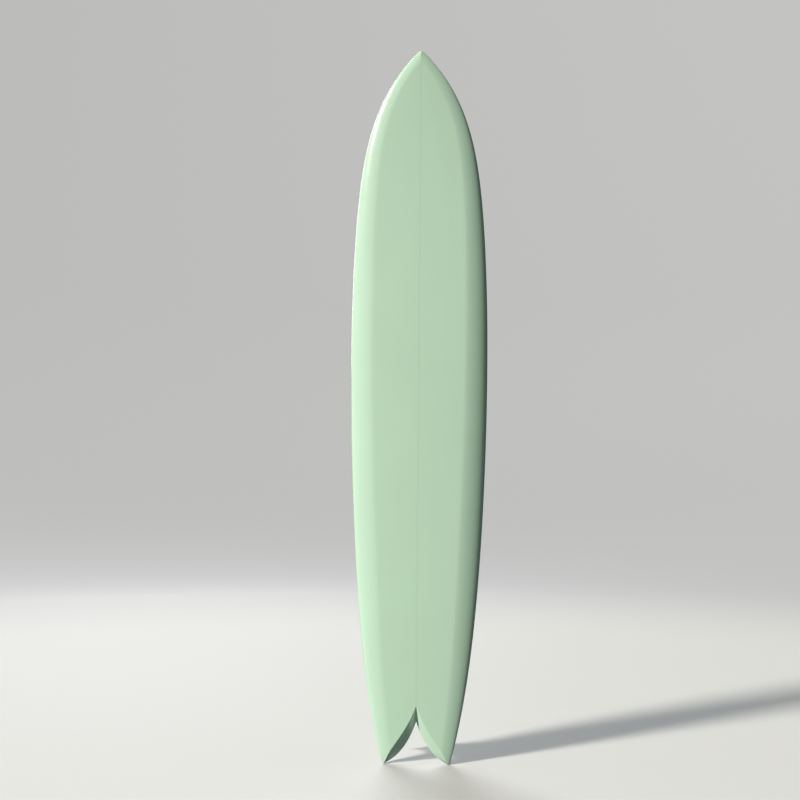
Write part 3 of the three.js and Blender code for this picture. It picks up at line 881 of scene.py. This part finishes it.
# blown foam: closed cells well under a millimetre wide, with faint bands from the blow
def makeFoam(name):
    foam = foams[name]
    finish = Finish(name, IOR=1.4)
    cell = finish.add("ShaderNodeTexVoronoi", sockets={"Vector": finish.place, "Scale": foam["cells"]})
    bands = finish.ramp(finish.noise(5, 4, 0.6, finish.stretched((1, 1, 0.3))), (0.35, 0), (0.7, 1))
    colour = finish.blend(bands * 0.6 + cell * 0.25, foam["light"], foam["dark"])
    finish.bump(cell, 0.0003, 0.5)
    return finish.set(Base_Color=colour, Roughness=0.82 + 0.15 * cell)


wood = {"pale": (0.63, 0.43, 0.21), "dark": (0.40, 0.23, 0.09)}


# a softwood stringer with its grain along the board
def makeWood():
    finish = Finish("stringerWood", IOR=1.45)
    rings = finish.noise(70, 6, 0.62, finish.stretched((1, 1, 0.03)))
    pores = finish.noise(900, 3, 0.6, finish.stretched((1, 1, 0.02)))
    colour = finish.blend(finish.ramp(rings, (0.38, 0), (0.6, 1)), wood["pale"], wood["dark"])
    finish.bump(pores + rings, 0.0002, 0.5)
    return finish.set(Base_Color=colour, Roughness=0.55 + 0.25 * pores)


cloth = {"resin": (0.70, 0.78, 0.69), "thread": (0.55, 0.66, 0.55), "weave": 4200}  # radians to a metre


# woven glass cloth set in resin, its threads running along and across the board
def makeCloth():
    finish = Finish("glassCloth", IOR=1.5)
    weave = finish.weave("X", "Z", cloth["weave"])
    colour = finish.blend(weave * 0.6, cloth["resin"], cloth["thread"])
    finish.bump(weave, 0.0001, 0.6)
    return finish.set(Base_Color=colour, Roughness=0.32 + 0.2 * finish.noise(30))


materials = {
    "deck_resin": makeResin("mintDeckResin", resin["mint"]),
    "bottom_resin": makeResin("mintBottomResin", resin["bottomMint"]),
    "glass_cloth": makeCloth(),
    "white_foam": makeFoam("whiteFoam"),
    "dense_foam": makeFoam("denseFoam"),
    "stringer_wood": makeWood(),
    "fin_box_plastic": makeBoxPlastic(),
    "fin_fibreglass": makeFinFibreglass(),
    "stainless_steel": makeSteel(),
}
print("materials made")


def finishPiece(piece, slot, body, *nodes, sharpAbove=40):
    settle(piece, sharpAbove)
    piece.data.materials.clear()
    piece.data.materials.append(materials[slot])
    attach(piece, body)
    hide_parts(*nodes)


# cuts the openings for both fin boxes out of a sheet of the skin
def openForBoxes(piece):
    for side in (-1, 1):
        opening = placed(boxOutside("opening", box["gap"], -box["opening"], box["opening"]), side)
        piece = cut(piece, opening)
    return piece


def makeSkin():
    finishPiece(openForBoxes(makeDeckLaminate()), "deck_resin", "board", "deck_laminate")
    finishPiece(openForBoxes(makeBottomCoat()), "bottom_resin", "board", "bottom_filler_coat")
    finishPiece(makeSwallowFacing(), "deck_resin", "board", "swallow_facing")
    finishPiece(makeNoseTip(), "deck_resin", "board", "nose_tip")
    finishPiece(makeTailTip(-1), "deck_resin", "board", "tail_tip_left")
    finishPiece(makeTailTip(1), "deck_resin", "board", "tail_tip_right")


makeSkin()
print("skin made")


def makeFinSide(side):
    name = sideName(side).lower()
    finishPiece(makeFinBox(side), "fin_box_plastic", "board", "fin_box_" + name, sharpAbove=30)
    finishPiece(makeFin(side), "fin_fibreglass", name + "_fin", "fin_" + name)
    for place, z in screwPlaces.items():
        body = name + "_" + place.lower() + "_screw"
        node = "fin_screw_" + name + "_" + place.lower()
        finishPiece(makeScrew(side, place, z), "stainless_steel", body, node, sharpAbove=25)


for side in (-1, 1):
    makeFinSide(side)
print("fins, boxes and screws made")


# the layers inside stay as they were packed, with the finish of their slot
def finishInside():
    slots = {row["node"]: row["material_slot"] for row in frame["record"]["subparts"]}
    for name, node in frame["nodes"].items():
        if not node.hide_render:
            node.data.materials.clear()
            node.data.materials.append(materials[slots[name]])


finishInside()
print("inner layers finished")

stage = {
    "floor": (0.53, 0.525, 0.51),
    "floorShade": 0.97,
    "floorRows": 12,
    "bendRows": 24,
    "wallSides": 96,
    "flatTo": 8.0,
    "wallAt": 13.0,
    "wallHeight": 22.0,
    "wallTone": (0.50, 0.50, 0.495),
    "wallBlend": (4.5, 9.0),  # distances over which the floor's tone turns into the wall's
    "worldLight": (0.95, 0.97, 1.0),
    "worldDark": (0.05, 0.11, 0.125),
    "worldStrength": 0.26,
    "worldDarkTo": -0.1,  # cosine from the key's direction
    "key": {"from": (-0.69, -0.49, 0.54), "strength": 4.75, "angle": 8, "colour": (1.0, 0.965, 0.90)},
    "bounce": {"from": (0.10, -0.30, -0.95), "strength": 0.55, "angle": 60, "colour": (1.0, 0.97, 0.90)},
    "backFill": {"from": (-0.30, 0.80, 0.48), "strength": 2.8, "angle": 40, "colour": (0.93, 0.97, 1.0)},
}


# a pale floor that curves up into a wall all round: a profile of radius and height turned about z
def makeBackdrop():
    angle = np.linspace(0, 2 * math.pi, stage["wallSides"] + 1)
    bend = np.linspace(0, math.pi / 2, stage["bendRows"])
    reach = stage["wallAt"] - stage["flatTo"]
    flat = np.linspace(0, stage["flatTo"], stage["floorRows"], endpoint=False)
    radius = np.concatenate([flat, stage["flatTo"] + reach * np.sin(bend), [stage["wallAt"]]])[:, None]
    height = np.concatenate([0 * flat, reach * (1 - np.cos(bend)), [stage["wallHeight"]]])[:, None]
    points = np.stack([radius * np.cos(angle), radius * np.sin(angle), height + 0 * angle], -1)
    piece = addPiece("backdrop", points.reshape(-1, 3), gridFaces(*points.shape[:2]), weld=1e-5)
    piece.data.shade_smooth()
    finish = Finish("paleFloor", Roughness=0.8, Emission_Strength=1.0)
    worn = tuple(shade * stage["floorShade"] for shade in stage["floor"])
    colour = finish.blend(finish.noise(0.8, 3) * 0.5, stage["floor"], worn)
    distance = (finish.along("X") ** 2 + finish.along("Y") ** 2) ** 0.5
    near, far = stage["wallBlend"]
    wall = finish.ramp((distance - near) / (far - near), (0, 0), (1, 1))
    colour = finish.blend(wall, colour, (0, 0, 0))
    glow = finish.blend(wall, (0, 0, 0), stage["wallTone"])
    piece.data.materials.append(finish.set(Base_Color=colour, Emission_Color=glow))
    piece.visible_shadow = False  # the wall stands between the key and the board
    piece.visible_diffuse = False  # only the world and the two weaker suns fill the shadows
    piece.visible_glossy = False


# soft fill, bright from where the key comes and dark from the other side
def makeWorld():
    world = bpy.data.worlds.new("studio")
    bpy.context.scene.world = world
    world.use_nodes = True
    sky = NodeTree(world.node_tree)
    place = sky.add("ShaderNodeTexCoord", output="Generated")
    key = Vector(stage["key"]["from"]).normalized()
    facing = sky.add("ShaderNodeVectorMath", {"operation": "DOT_PRODUCT"}, {0: place, 1: key}, "Value")
    smooth = {"interpolation_type": "SMOOTHSTEP"}
    tone = sky.add("ShaderNodeMapRange", smooth, {"Value": facing, "From Min": stage["worldDarkTo"]})
    background = world.node_tree.nodes["Background"]
    sky.feed(background.inputs["Color"], sky.blend(tone, stage["worldDark"], stage["worldLight"]))
    sky.feed(background.inputs["Strength"], stage["worldStrength"])


def makeSun(name):
    data = bpy.data.lights.new(name, "SUN")
    data.energy = stage[name]["strength"]
    data.angle = math.radians(stage[name]["angle"])
    data.color = stage[name]["colour"]
    lamp = bpy.data.objects.new(name, data)
    lamp.rotation_mode = "QUATERNION"
    lamp.rotation_quaternion = Vector(stage[name]["from"]).to_track_quat("Z", "Y")
    bpy.context.scene.collection.objects.link(lamp)


makeBackdrop()
makeWorld()
for name in ("key", "bounce", "backFill"):
    makeSun(name)
print("stage made")
